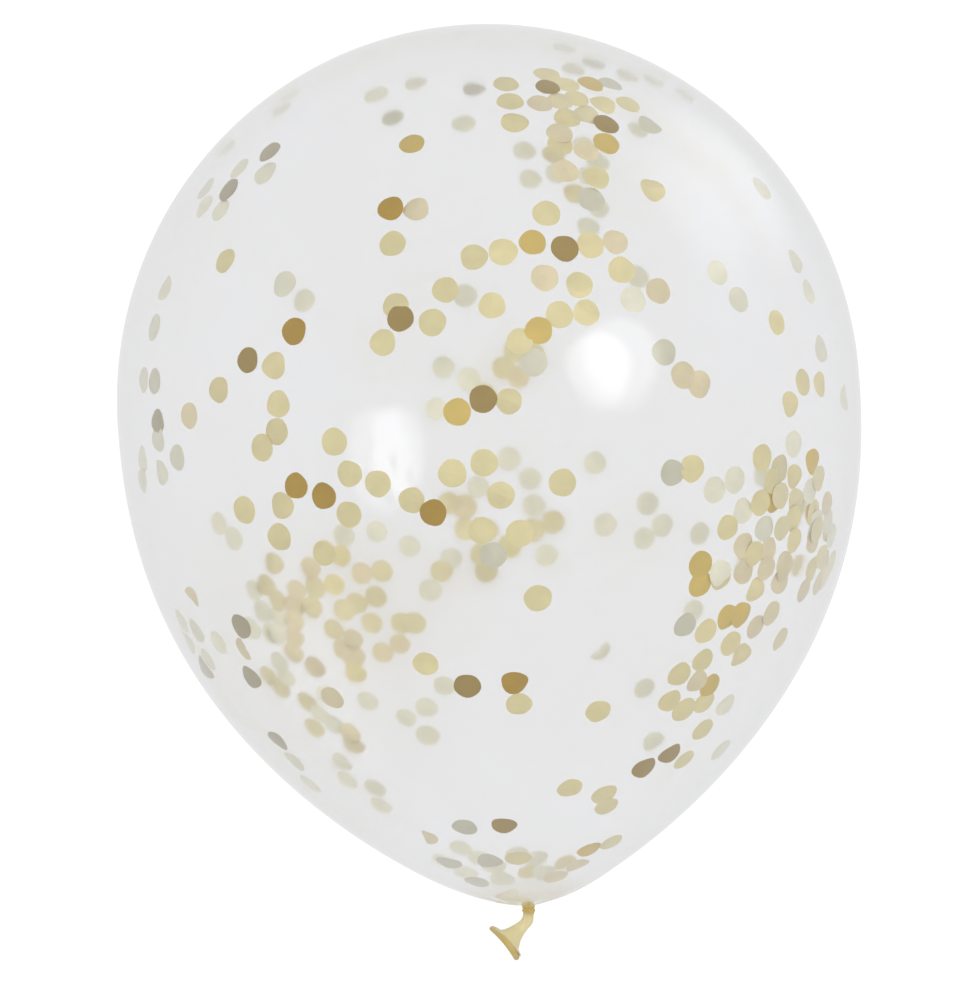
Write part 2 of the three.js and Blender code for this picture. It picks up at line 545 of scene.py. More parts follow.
@dataclass(frozen=True)
class ClearLatex:
    """Finish of the stretched film: clear and glossy, a little hazy, warmer where it is thick."""

    clear: Colour = (0.877, 0.880, 0.892)
    thick: Colour = (0.763, 0.739, 0.661)
    amber: Colour = (0.74, 0.66, 0.42)
    roughness: float = 0.05
    ior: float = 1.5
    gathers_reach: float = 0.034
    gathers_fade: float = 0.017
    gathers_share: float = 0.5
    tie_reach: float = 0.006
    crown_reach: float = 0.09
    crown_share: float = 0.12
    mottle_scale: float = 14.0
    mottle_detail: float = 4.0
    mottle_swing: float = 0.16
    mottle_base: float = -0.06

    @staticmethod
    def _near(
        tree: Tree,
        place: bpy.types.NodeSocket,
        spot: Vector,
        reach: float,
        fade: float,
        share: float,
    ) -> bpy.types.NodeSocket:
        """Adds a patch round a spot.

        Args:
            tree: The tree to build in.
            place: The shaded place.
            spot: The middle of the patch.
            reach: How far the patch reaches.
            fade: Over how much of that it fades out.
            share: Its strength.

        Returns:
            The strength there, which is nothing past its reach.
        """
        return tree.add(
            "ShaderNodeMapRange",
            {"interpolation_type": "SMOOTHSTEP"},
            Value=tree.vector("DISTANCE", place, tuple(spot)),
            From_Min=reach - fade,
            From_Max=reach,
            To_Min=share,
            To_Max=0.0,
        ).outputs[0]

    def material(self, lie: Lie, form: BalloonForm) -> bpy.types.Material:
        """Makes the film's material.

        Args:
            lie: How the balloon lies.
            form: The balloon's sizes.

        Returns:
            A Principled shader with plain transmission, whose tint follows the film's thickness.
        """
        material, tree = new_material("clear_latex")
        place = tree.add("ShaderNodeTexCoord").outputs["Object"]
        tied = lie.place((0, -form.lower_height, 0))
        top = lie.place((0, form.crown_height, 0))
        gathers = self._near(tree, place, tied, self.gathers_reach, self.gathers_fade, self.gathers_share)
        tie = self._near(tree, place, tied, self.tie_reach, self.tie_reach, 1 - self.gathers_share)
        crown = self._near(tree, place, top, self.crown_reach, self.crown_reach, self.crown_share)
        thickness = tree.math("ADD", tree.math("ADD", gathers, tie), crown)
        mottle = tree.noise(place, self.mottle_scale, self.mottle_detail)
        uneven = tree.math("MULTIPLY_ADD", mottle, self.mottle_swing, self.mottle_base)
        tint = colour_ramp(
            tree,
            tree.math("ADD", thickness, uneven),
            {0.0: self.clear, 0.5: self.thick, 1.0: self.amber},
        )
        tree.surface(Base_Color=tint, Roughness=self.roughness, IOR=self.ior, Transmission_Weight=1.0)
        return material


@dataclass(frozen=True)
class AmberLatex:
    """Finish of the unstretched latex of neck, tie and lip: satin, amber, letting some light by."""

    pale: Colour = (0.80, 0.71, 0.40)
    deep: Colour = (0.62, 0.46, 0.13)
    roughness: float = 0.36
    transmission: float = 0.3
    blotch_scale: float = 330.0
    blotch_detail: float = 3.0
    blotch_swing: float = 0.6
    blotch_base: float = -0.3
    pale_end: float = 0.05
    deep_end: float = 0.95
    wrinkle_scale: float = 1500.0
    wrinkle_detail: float = 2.0
    wrinkle_strength: float = 0.3
    wrinkle_height: float = 0.0002

    def material(self) -> bpy.types.Material:
        """Makes the neck's material: deeper where the latex lies thick, with fine wrinkles."""
        material, tree = new_material("amber_latex")
        place = tree.add("ShaderNodeTexCoord").outputs["Object"]
        thick = tree.add("ShaderNodeAttribute", {"attribute_name": "thick"}).outputs["Fac"]
        blotch = tree.noise(place, self.blotch_scale, self.blotch_detail)
        uneven = tree.math("MULTIPLY_ADD", blotch, self.blotch_swing, self.blotch_base)
        stops = {self.pale_end: self.pale, self.deep_end: self.deep}
        tint = colour_ramp(tree, tree.math("ADD", thick, uneven), stops)
        wrinkles = tree.noise(place, self.wrinkle_scale, self.wrinkle_detail)
        tree.surface(
            Base_Color=tint,
            Roughness=self.roughness,
            Transmission_Weight=self.transmission,
            Normal=tree.bump(wrinkles, self.wrinkle_strength, self.wrinkle_height),
        )
        return material


@dataclass(frozen=True)
class Foil:
    """Finish of the confetti: thin satin foil, each disc with a tint that holds the foil's colour together
    with painted reflection or painted haze.
    """

    metallic: float = 0.3
    roughness: float = 0.42
    transmission: float = 0.22
    noise_detail: float = 3.0
    cloud_scale: float = 170.0
    cloud_swing: float = 0.24
    cloud_base: float = 0.88
    crinkle_scale: float = 520.0
    crinkle_strength: float = 0.35
    crinkle_height: float = 0.0003

    def material(self) -> bpy.types.Material:
        """Makes the foil's material, which reads each disc's tint from the mesh."""
        material, tree = new_material("gold_foil")
        tint = tree.add("ShaderNodeAttribute", {"attribute_name": "tint"}).outputs["Color"]
        place = tree.add("ShaderNodeTexCoord").outputs["Object"]
        cloud = tree.noise(place, self.cloud_scale, self.noise_detail)
        shade = tree.math("MULTIPLY_ADD", cloud, self.cloud_swing, self.cloud_base)
        toned = tree.add("ShaderNodeVectorMath", {"operation": "SCALE"}, in_0=tint, Scale=shade)
        crinkles = tree.noise(place, self.crinkle_scale, self.noise_detail)
        tree.surface(
            Base_Color=toned.outputs[0],
            Metallic=self.metallic,
            Roughness=self.roughness,
            Transmission_Weight=self.transmission,
            Normal=tree.bump(crinkles, self.crinkle_strength, self.crinkle_height),
        )
        return material


def smooth_step(share: np.ndarray) -> np.ndarray:
    """Eases a share from 0 to 1, level at both ends."""
    held = np.clip(share, 0, 1)
    return held * held * (3 - 2 * held)


def hill(away: np.ndarray, reach: float, power: int = 2) -> np.ndarray:
    """A smooth hill, 1 in its middle and low past its reach. A higher power makes its top flatter."""
    return np.exp(-((away / reach) ** power))


@dataclass
class Film:
    """The blown-up envelope: one thin wall of clear latex, gathered at the tie."""

    form: BalloonForm
    lie: Lie
    neck_side_offset: float = 0.001
    thickness: float = 0.00015
    outline_steps: int = 200
    sides: int = 176
    rows: int = 132
    settle_blend: float = 0.0004
    gather_reach: float = 0.015
    gather_count: int = 11
    gather_depth: float = 0.00022
    second_gather: float = 0.4

    def _shape(self, places: np.ndarray) -> np.ndarray:
        """Gathers the wall at the tie, lays it down and flattens it where it rests."""
        x, y, z = places.T
        above_tie = y + self.form.lower_height
        near_tie = smooth_step(1 - above_tie / self.gather_reach)
        turn = np.arctan2(z, x)
        second = self.second_gather * np.cos((2 * self.gather_count - 3) * turn + 1)
        fold = np.cos(self.gather_count * turn) + second
        across = x + self.neck_side_offset * near_tie
        along = y + self.gather_depth * near_tie * fold
        laid = self.lie.lay(np.stack([across, along, z], 1))
        height = laid[:, 2]
        laid[:, 2] = (height + np.sqrt(height**2 + self.settle_blend**2)) / 2
        return laid

    def make(self, finish: bpy.types.Material) -> tuple[bpy.types.Object, BVHTree]:
        """Builds the film.

        Args:
            finish: Its material.

        Returns:
            The piece, a closed shell of the film's thickness, and a finder of its outer wall.
        """
        outline = self.form.outline(self.outline_steps)
        piece = TurnedWall(self.sides, self.rows).make("envelope_film", outline, finish)
        move_points(piece, self._shape)
        finder = BVHTree.FromPolygons(
            [vertex.co for vertex in piece.data.vertices],
            [tuple(face.vertices) for face in piece.data.polygons],
        )
        wall = piece.modifiers.new("wall", "SOLIDIFY")
        wall.thickness = self.thickness
        wall.offset = -1
        settle(piece)
        piece.visible_shadow = False
        piece.visible_diffuse = False
        piece.visible_glossy = False
        return piece, finder


@dataclass
class TiedNeck:
    """The neck below the envelope: a tied band, a short stem, and a flared mouth with a rolled lip."""

    form: BalloonForm
    lie: Lie
    side_offset: float = 0.001
    sink: float = 0.0012
    straight_length: float = 0.0014
    bend_angle: float = math.radians(53)
    bend_radius: float = 0.010
    tie_length: float = 0.0031
    tie_bulge: float = 0.0004
    stem_length: float = 0.013
    stem_waist_radius: float = 0.0018
    stem_middle_radius: float = 0.0024
    stem_end_radius: float = 0.0043
    mouth_length: float = 0.0026
    lip_ring_radius: float = 0.0075
    lip_radius: float = 0.0012
    lip_sweep: float = math.radians(144)
    lip_unevenness: float = 0.22
    mouth_depth: float = 0.008
    mouth_wall: float = 0.0006
    mouth_saddle: float = 0.0006
    pleat_count: int = 9
    pleat_depth: float = 0.12
    bump_place: float = 0.0062
    bump_length: float = 0.0022
    bump_height: float = 0.0006
    belly_place: float = 0.0165
    belly_length: float = 0.0032
    belly_height: float = 0.0013
    sides: int = 96
    rows: int = 180
    tie_steps: int = 16
    lip_steps: int = 20
    waist_place: float = 0.12
    middle_place: float = 0.5
    throat_width: float = 0.3
    throat_place: float = 0.8
    cap_width: float = 0.7
    cap_place: float = 0.8
    pleat_reach: float = 1.5
    pleat_twist: float = 900.0
    second_pleat: float = 0.35
    second_roll: float = 0.25
    outside_share: float = 0.4
    tie_shade: float = 0.3
    lip_shade: float = 1.6
    shade_power: int = 4

    @property
    def lip_place(self) -> float:
        """Distance of the lip's ring below the envelope, along the neck."""
        return self.tie_length + self.stem_length + self.mouth_length

    def _off_ring(self, radius: np.ndarray, along: np.ndarray) -> np.ndarray:
        """How far points are from the middle of the rolled lip."""
        return np.hypot(radius - self.lip_ring_radius, along - self.lip_place)

    def _outline(self) -> list[tuple[float, float]]:
        """Outline of the straight neck, from inside the envelope, round the lip, into the mouth.

        Returns:
            Pairs of radius and distance below the envelope.
        """
        top = self.form.neck_radius
        tie = []
        for i in range(self.tie_steps + 1):
            bulge = self.tie_bulge * abs(math.sin(2 * math.pi * i / self.tie_steps))
            tie.append((top + bulge, self.tie_length * i / self.tie_steps))
        stem_end = self.tie_length + self.stem_length
        stem = smooth_curve(
            [
                tie[-1],
                (self.stem_waist_radius, self.tie_length + self.waist_place * self.stem_length),
                (self.stem_middle_radius, self.tie_length + self.middle_place * self.stem_length),
                (self.stem_end_radius, stem_end),
                (self.lip_ring_radius, self.lip_place - self.lip_radius),
            ]
        )
        lip = []
        for i in range(1, self.lip_steps + 1):
            angle = -math.pi / 2 + (self.lip_sweep + math.pi / 2) * i / self.lip_steps
            ring = self.lip_ring_radius + self.lip_radius * math.cos(angle)
            lip.append((ring, self.lip_place + self.lip_radius * math.sin(angle)))
        throat = self.lip_place - self.throat_place * self.mouth_depth
        inside = smooth_curve(
            [
                lip[-1],
                (self.stem_end_radius - self.mouth_wall, stem_end + self.mouth_wall),
                (self.throat_width * self.stem_end_radius, throat),
                (0, self.lip_place - self.mouth_depth),
            ]
        )
        cap = [(0, -self.sink), (self.cap_width * top, -self.sink), (top, -self.cap_place * self.sink)]
        return cap + tie + stem[1:] + lip + inside[1:]

    def _pleat(self, turn: np.ndarray, along: np.ndarray) -> np.ndarray:
        """How much wider than round the neck is, which the tie gathers in twisted pleats."""
        gathering = hill(along - self.tie_length, self.pleat_reach * self.tie_length)
        twist = self.pleat_count * turn + self.pleat_twist * along
        wave = np.cos(twist) + self.second_pleat * np.cos(2 * twist + 1)
        return 1 + self.pleat_depth * gathering * wave

    def _swell(
        self,
        turn: np.ndarray,
        radius: np.ndarray,
        along: np.ndarray,
    ) -> tuple[np.ndarray, np.ndarray]:
        """Swells the stem on its outer side and rolls the lip unevenly.

        Args:
            turn: Where round the neck the points are.
            radius: How far they are from the neck's middle.
            along: How far they are below the envelope.

        Returns:
            The radius and the distance below the envelope that they move to.
        """
        on_lip = np.clip(1 - self._off_ring(radius, along) / self.lip_radius / 2, 0, 1)
        wave = np.cos(turn) + self.second_roll * np.cos(3 * turn + 2)
        roll = self.lip_unevenness * wave * (2 * on_lip).clip(0, 1)
        outside = np.cos(turn).clip(0, 1)
        on_wall = radius > self.outside_share * self.stem_waist_radius
        before_lip = (along < self.lip_place - self.lip_radius) * on_wall
        bump = self.bump_height * hill(along - self.bump_place, self.bump_length)
        belly = self.belly_height * hill(along - self.belly_place, self.belly_length)
        swollen = radius + (bump + belly) * outside * before_lip
        rolled = swollen + (swollen - self.lip_ring_radius) * roll
        return rolled, along + (along - self.lip_place) * roll

    def _shape(self, places: np.ndarray) -> np.ndarray:
        """Pleats the neck at the tie, rolls its lip unevenly, bends it and lays it down."""
        x, given_along, z = places.T
        turn = np.arctan2(z, x)
        pleat = self._pleat(turn, given_along)
        radius, along = self._swell(turn, np.hypot(x, z), given_along)
        side = radius * np.cos(turn) * pleat
        depth = radius * np.sin(turn) * pleat
        saddle = self.mouth_saddle * (x**2 - z**2) / self.lip_ring_radius**2
        bent = np.clip((along - self.straight_length) / self.bend_radius, 0, self.bend_angle)
        rest = np.maximum(along - self.straight_length - self.bend_radius * self.bend_angle, 0)
        reach = rest + saddle
        across = self.side_offset - self.bend_radius * (1 - np.cos(bent)) - reach * np.sin(bent)
        straight = np.minimum(along, self.straight_length)
        down = straight + self.bend_radius * np.sin(bent) + reach * np.cos(bent)
        height = -self.form.lower_height - down - side * np.sin(bent)
        return self.lie.lay(np.stack([across + side * np.cos(bent), height, depth], 1))

    def make(self, finish: bpy.types.Material) -> bpy.types.Object:
        """Builds the neck.

        Args:
            finish: Its material.

        Returns:
            The piece, one closed mesh.
        """
        piece = TurnedWall(self.sides, self.rows).make("tied_neck", self._outline(), finish)
        mesh = piece.data
        places = np.empty(len(mesh.vertices) * 3)
        mesh.vertices.foreach_get("co", places)
        x, along, z = places.reshape(-1, 3).T
        off_ring = self._off_ring(np.hypot(x, z), along)
        tie = hill(along - self.tie_shade * self.tie_length, self.tie_length, self.shade_power)
        lip = hill(off_ring, self.lip_shade * self.lip_radius, self.shade_power)
        store(mesh, "thick", "FLOAT", "value", np.maximum(tie, lip))
        move_points(piece, self._shape)
        turn_outwards(piece)
        return piece


class Wall(Enum):
    """The wall that a disc clings to, as the camera sees it."""

    NEAR = 0
    FAR = 1


class Tint(Enum):
    """Colours of the foil discs, linear, read off as each disc looks.

    The foil's own gold is in all of them. DEEP, BRONZE and GREY are also darkened by painted
    reflection, and MIST is also paled by painted haze.
    """

    CREAM = (0.77, 0.69, 0.42)
    PEACH = (0.77, 0.675, 0.44)
    PALE = (0.775, 0.69, 0.375)
    GOLD = (0.67, 0.495, 0.12)
    # DEEP, BRONZE and GREY: gold darkened by a painted reflection of the dark surroundings that foil mirrors
    DEEP = (0.46, 0.28, 0.01)
    BRONZE = (0.37, 0.25, 0.05)
    GREY = (0.43, 0.375, 0.235)
    SILVER = (0.635, 0.615, 0.47)
    # MIST: gold paled by painted haze, the light that the film scatters over faint discs
    MIST = (0.82, 0.795, 0.63)


@dataclass(frozen=True)
class Row:
    """Discs of one tint that stand out, each placed by where the picture shows it."""

    tint: Tint
    places: tuple[tuple[int, int], ...]
    wall: Wall = Wall.NEAR


@dataclass(frozen=True)
class Spot:
    """One disc: its place in the picture, its tint, its wall, and whether it is folded over."""

    x: float
    y: float
    tint: Tint
    wall: Wall
    folded: bool


@dataclass(frozen=True)
class Drift:
    """A loose cluster of discs: its middle, reach and lean in the picture, and how many."""

    x: float
    y: float
    width: float
    height: float
    count: int
    wall: Wall = Wall.NEAR
    lean: float = 0.0
    mix: tuple[Tint, ...] = (Tint.PALE, Tint.CREAM, Tint.PALE, Tint.CREAM, Tint.GOLD, Tint.PALE)


# Tints darkened by painted reflection of dark surroundings; these discs lie nearest the wall
DARK = (Tint.DEEP, Tint.BRONZE, Tint.GREY)
CREAM_MIX = (Tint.CREAM, Tint.PEACH, Tint.PALE, Tint.CREAM)
# Mix for drifts of faint discs, paled by painted haze
MIST_MIX = (Tint.MIST, Tint.MIST, Tint.CREAM)

# Discs that are folded over on themselves, by their places in the picture
FOLDED = ((424, 840), (243, 650), (189, 600), (600, 651))

# Discs that stand out at the crown
CROWN_ROWS = (
    Row(Tint.DEEP, ((390, 207),)),
    Row(Tint.BRONZE, ((548, 86), (565, 248), (607, 123))),
    Row(Tint.GOLD, ((411, 142), (533, 241), (607, 142), (591, 82))),
    Row(Tint.GREY, ((228, 189), (269, 151))),
    Row(Tint.SILVER, ((652, 122), (611, 81), (593, 197))),
    Row(Tint.SILVER, ((474, 86), (392, 116), (594, 61)), Wall.FAR),
    Row(
        Tint.PALE,
        (
            (506, 82), (547, 72), (567, 82), (510, 100), (515, 119), (568, 116), (604, 101), (629, 102),
            (561, 143), (597, 176), (547, 212), (591, 244), (503, 250), (474, 256), (580, 284), (654, 187),
            (392, 243), (224, 260), (445, 289), (623, 269),
        ),
    ),
    Row(
        Tint.PEACH,
        ((540, 102), (560, 132), (587, 149), (567, 169), (616, 241), (545, 277), (415, 207), (660, 290)),
    ),
    Row(
        Tint.MIST,
        (
            (264, 171), (238, 167), (204, 187), (202, 205), (219, 209), (162, 287), (282, 283), (719, 272),
            (764, 187), (798, 260), (811, 291), (634, 299), (740, 299),
        ),
    ),
    Row(
        Tint.MIST,
        (
            (375, 92), (415, 80), (463, 121), (303, 300), (279, 107), (289, 92), (224, 147), (565, 45),
            (574, 67), (629, 73), (655, 77), (686, 92), (639, 128), (525, 149), (531, 177), (557, 172),
            (589, 226), (599, 207), (465, 295), (639, 276),
        ),
        Wall.FAR,
    ),
)

# Discs that stand out round the middle
MIDDLE_ROWS = (
    Row(Tint.DEEP, ((293, 331), (295, 486), (323, 496), (433, 513))),
    Row(Tint.BRONZE, ((400, 318), (247, 360), (483, 399))),
    Row(Tint.GOLD, ((457, 412), (815, 462), (778, 501), (702, 565), (539, 330))),
    Row(Tint.GREY, ((156, 421),)),
    Row(Tint.SILVER, ((665, 352), (152, 381), (534, 362), (674, 473), (493, 556))),
    Row(
        Tint.PALE,
        (
            (395, 305), (432, 322), (382, 342), (492, 305), (520, 341), (560, 314), (587, 312), (509, 401),
            (272, 365), (216, 390), (276, 404), (275, 432), (260, 448), (333, 442), (348, 474), (377, 484),
            (411, 501), (242, 511), (280, 506), (278, 538), (348, 515), (323, 554), (452, 474), (484, 463),
            (482, 531), (501, 496), (563, 483), (520, 534),
        ),
    ),
    Row(
        Tint.PALE,
        (
            (778, 322), (805, 382), (823, 384), (792, 404), (764, 458), (694, 469), (775, 481), (797, 477),
            (762, 503), (796, 519), (815, 514), (729, 528), (756, 554), (723, 579),
        ),
    ),
    Row(Tint.PEACH, ((187, 416), (684, 375), (701, 384), (746, 546), (771, 551), (747, 572), (816, 541))),
    Row(
        Tint.MIST,
        (
            (142, 380), (152, 327), (156, 439), (140, 459), (158, 473), (175, 458), (141, 481), (716, 490),
            (736, 480), (823, 348), (848, 397), (795, 444), (813, 491), (745, 511), (767, 529), (722, 574),
        ),
    ),
    Row(
        Tint.MIST,
        (
            (443, 367), (469, 379), (436, 409), (478, 487), (409, 547), (451, 559), (376, 532), (343, 536),
            (217, 524), (596, 463), (649, 504), (664, 526), (645, 539), (606, 525), (701, 534), (547, 556),
            (509, 459), (530, 479), (534, 506),
        ),
        Wall.FAR,
    ),
)

# Discs that stand out below the middle
LOWER_ROWS = (
    Row(Tint.DEEP, ((515, 684),)),
    Row(Tint.BRONZE, ((467, 687), (504, 827), (671, 755), (645, 769))),
    Row(Tint.GOLD, ((702, 585), (730, 619), (743, 616), (712, 687), (590, 852))),
    Row(Tint.GREY, ((240, 627), (250, 678), (277, 742), (203, 669))),
    Row(Tint.SILVER, ((464, 829), (686, 626), (490, 864), (448, 865), (476, 884))),
    Row(
        Tint.PALE,
        (
            (538, 599), (519, 706), (599, 713), (425, 665), (570, 790), (605, 796), (607, 808), (518, 861),
            (612, 844), (758, 591), (707, 632), (733, 645), (744, 658), (704, 661), (681, 676), (671, 702),
            (685, 711), (706, 704), (704, 731), (685, 761),
        ),
    ),
    Row(
        Tint.PEACH,
        (
            (331, 700), (699, 683), (784, 582), (806, 591), (773, 614), (758, 628), (782, 640), (424, 840),
            (243, 650), (189, 600), (556, 879), (579, 869),
        ),
    ),
    Row(
        Tint.MIST,
        (
            (217, 644), (194, 632), (206, 661), (293, 763), (727, 706), (722, 751), (309, 786), (180, 622),
            (186, 644),
        ),
    ),
    Row(
        Tint.MIST,
        (
            (645, 689), (655, 744), (695, 612), (460, 850), (502, 882), (444, 687), (600, 651), (253, 591),
            (232, 539), (346, 782), (380, 807), (367, 702), (430, 591), (405, 720), (426, 709), (427, 737),
            (340, 765), (374, 790),
        ),
        Wall.FAR,
    ),
    Row(
        Tint.CREAM,
        (
            (343, 611), (371, 624), (401, 624), (414, 624), (375, 598), (356, 604), (441, 572), (486, 572),
            (381, 572), (314, 588), (310, 609), (264, 586),
        ),
        Wall.FAR,
    ),
    Row(
        Tint.PEACH,
        (
            (352, 640), (352, 659), (343, 650), (382, 654), (399, 645), (295, 591), (293, 607), (293, 622),
            (293, 638), (292, 654), (314, 668), (361, 574), (309, 569), (349, 735), (352, 747),
        ),
        Wall.FAR,
    ),
)

# Discs in loose clusters, where no single one stands out
DRIFTS = (
    Drift(585, 100, 40, 25, 3, mix=CREAM_MIX),
    Drift(575, 180, 35, 60, 5, Wall.FAR, mix=MIST_MIX),
    Drift(500, 370, 60, 24, 5, Wall.FAR, math.radians(-30), CREAM_MIX),
    Drift(500, 510, 50, 45, 9, Wall.FAR, mix=CREAM_MIX),
    Drift(275, 645, 28, 42, 9, Wall.FAR, mix=MIST_MIX),
    Drift(320, 590, 70, 40, 5, Wall.FAR, mix=CREAM_MIX),
    Drift(360, 640, 45, 30, 3, Wall.FAR, mix=CREAM_MIX),
    Drift(322, 715, 26, 20, 5, Wall.FAR, mix=MIST_MIX),
    Drift(800, 500, 30, 50, 7, mix=CREAM_MIX),
    Drift(800, 565, 34, 28, 9, mix=CREAM_MIX),
    Drift(825, 525, 14, 50, 7, mix=MIST_MIX),
    Drift(775, 540, 45, 70, 7, Wall.FAR, mix=MIST_MIX),
    Drift(500, 868, 80, 14, 9, Wall.FAR, mix=MIST_MIX),
)


@dataclass
class Confetti:
    """The loose foil discs that cling to the inside of the wall, made by Geometry Nodes."""

    sight: Sight
    finder: BVHTree
    wall_thickness: float
    diameter: float = 0.0102
    foil_thickness: float = 0.00005
    clearance: float = 0.00008
    lean: float = 0.02
    curl: float = 0.0005
    crease: float = 0.0007
    creased_share: float = 0.25
    folded_share: float = 0.03
    fold_places: tuple[float, float] = (0.0, 0.3)
    no_fold: float = 2.0
    shade: float = 0.035
    fold_gap: float = 0.00025
    layer_gap: float = 0.00022
    sides: int = 18
    seed: int = 7
    spacing: float = 15.0
    tries: int = 12
    raggedness: float = 0.12
    past_wall: float = 1e-4
    edge_points: int = 12
    layers: int = 3
    size_spread: float = 0.03
    least_crease: float = 0.4
    fold_sharpness: float = 40.0
    out_of_round: tuple[tuple[float, float], ...] = ((3.0, 0.02), (5.0, 0.016))

    def _spots(self, draw: np.random.Generator) -> list[Spot]:
        """All discs in the picture, the ones that stand out first."""
        rows = CROWN_ROWS + MIDDLE_ROWS + LOWER_ROWS
        spots = [Spot(x, y, row.tint, row.wall, (x, y) in FOLDED) for row in rows for x, y in row.places]
        for drift in DRIFTS:
            cos, sin = math.cos(drift.lean), math.sin(drift.lean)
            for _ in range(drift.count):
                for _ in range(self.tries):
                    turn = draw.uniform(0, 2 * math.pi)
                    reach = math.sqrt(draw.uniform(0, 1)) * draw.normal(1, self.raggedness)
                    across = reach * drift.width * math.cos(turn)
                    along = reach * drift.height * math.sin(turn)
                    x = drift.x + across * cos - along * sin
                    y = drift.y + across * sin + along * cos
                    taken = [
                        spot
                        for spot in spots
                        if spot.wall is drift.wall and math.hypot(spot.x - x, spot.y - y) < self.spacing
                    ]
                    if not taken:
                        break
                tint = drift.mix[draw.integers(len(drift.mix))]
                spots.append(Spot(x, y, tint, drift.wall, draw.uniform() < self.folded_share))
        return spots

    def _on_wall(self, x: float, y: float, wall: Wall) -> tuple[Vector, Vector] | None:
        """The place on a wall behind a pixel of the picture, with the way inwards."""
        ray = self.sight.ray(x, y)
        start = self.sight.eye
        for crossing in Wall:
            place, normal, _, _ = self.finder.ray_cast(start, ray)
            if place is None:
                return None
            if crossing is wall:
                return place, -normal
            start = place + ray * self.past_wall
        return None

    def _lift(self, place: Vector, facing: Vector) -> float:
        """How far a flat disc has to stand off the wall so that its edge stays inside."""
        across = facing.orthogonal().normalized()
        along = facing.cross(across)
        depths = []
        for i in range(self.edge_points):
            angle = i * 2 * math.pi / self.edge_points
            edge = place + (across * math.cos(angle) + along * math.sin(angle)) * self.diameter / 2
            nearest, normal, _, _ = self.finder.find_nearest(edge)
            depths.append((nearest - edge).dot(normal))
        clear = self.wall_thickness + self.foil_thickness / 2 + self.clearance
        return clear + max(0.0, -min(depths))

    def make(self, finish: bpy.types.Material) -> bpy.types.Object:
        """Builds all discs as one piece.

        Args:
            finish: Their material.

        Returns:
            The piece, with a closed disc of foil at each place.
        """
        draw = np.random.default_rng(self.seed)
        places, facings, tints, folds = [], [], [], []
        for spot in self._spots(draw):
            shade = draw.normal(1, self.shade)
            lean = Vector(draw.normal(0, self.lean, 3))
            found = self._on_wall(spot.x, spot.y, spot.wall)
            if found is None:
                continue
            place, inward = found
            facing = (inward + lean).normalized()
            layer = 0 if spot.tint in DARK else draw.integers(1, self.layers + 1)
            places.append(place + inward * (self._lift(place, facing) + layer * self.layer_gap))
            facings.append(facing)
            tints.append([channel * shade for channel in spot.tint.value] + [1.0])
            folds.append(draw.uniform(*self.fold_places) if spot.folded else self.no_fold)
        count = len(places)
        creased = draw.uniform(0, 1, count) < self.creased_share
        piece = mesh_object("confetti", places, [], [])
        mesh = piece.data
        store(mesh, "facing", "FLOAT_VECTOR", "vector", np.array(facings))
        store(mesh, "spin", "FLOAT", "value", draw.uniform(0, 2 * math.pi, count))
        store(mesh, "size", "FLOAT", "value", draw.normal(1, self.size_spread, count))
        store(mesh, "curl", "FLOAT", "value", self.curl * np.abs(draw.normal(0, 1, count)))
        depths = draw.uniform(self.least_crease, 1, count)
        store(mesh, "crease", "FLOAT", "value", self.crease * creased * depths)
        store(mesh, "fold", "FLOAT", "value", np.array(folds))
        store(mesh, "tint", "FLOAT_COLOR", "color", np.array(tints))
        values = {
            "Radius": self.diameter / 2,
            "Foil": self.foil_thickness,
            "Sides": self.sides,
            "Finish": finish,
        }
        apply_nodes(piece, self._group(), values)
        piece.visible_shadow = False
        LOG.info("confetti: %d discs", count)
        return piece

    def _blank(self, tree: Tree, given: bpy.types.NodeOutputs) -> bpy.types.NodeSocket:
        """Adds one disc, which keeps the place of each of its corners."""
        disc = tree.add(
            "GeometryNodeMeshCylinder",
            {"fill_type": "TRIANGLE_FAN"},
            Vertices=given["Sides"],
            Fill_Segments=2,
            Radius=given["Radius"],
            Depth=given["Foil"],
        ).outputs["Mesh"]
        place = tree.add("GeometryNodeInputPosition").outputs[0]
        return tree.add(
            "GeometryNodeStoreNamedAttribute",
            {"data_type": "FLOAT_VECTOR", "domain": "POINT"},
            Geometry=disc,
            Name="local",
            Value=place,
        ).outputs[0]

    def _group(self) -> bpy.types.NodeTree:
        """Builds the node group that sets a foil disc on each point, then curls and folds it."""
        group = new_group(
            "foil_discs",
            {"Places": "Geometry", "Radius": "Float", "Foil": "Float", "Sides": "Int", "Finish": "Material"},
            "Discs",
        )
        tree = Tree(group)
        given = tree.add("NodeGroupInput").outputs
        spread = tree.add(
            "GeometryNodeInstanceOnPoints",
            Points=given["Places"],
            Instance=self._blank(tree, given),
            Rotation=self._turn(tree),
            Scale=tree.named("size", "FLOAT"),
        ).outputs[0]
        plain = tree.add("GeometryNodeRealizeInstances", Geometry=spread).outputs[0]
        own = self._bend(tree, given["Radius"])
        offset = tree.add("FunctionNodeRotateVector", Vector=own, Rotation=self._turn(tree)).outputs[0]
        curled = tree.add("GeometryNodeSetPosition", Geometry=plain, Offset=offset).outputs[0]
        dressed = tree.add("GeometryNodeSetMaterial", Geometry=curled, Material=given["Finish"])
        tree.add("NodeGroupOutput", Discs=dressed.outputs[0])
        return group

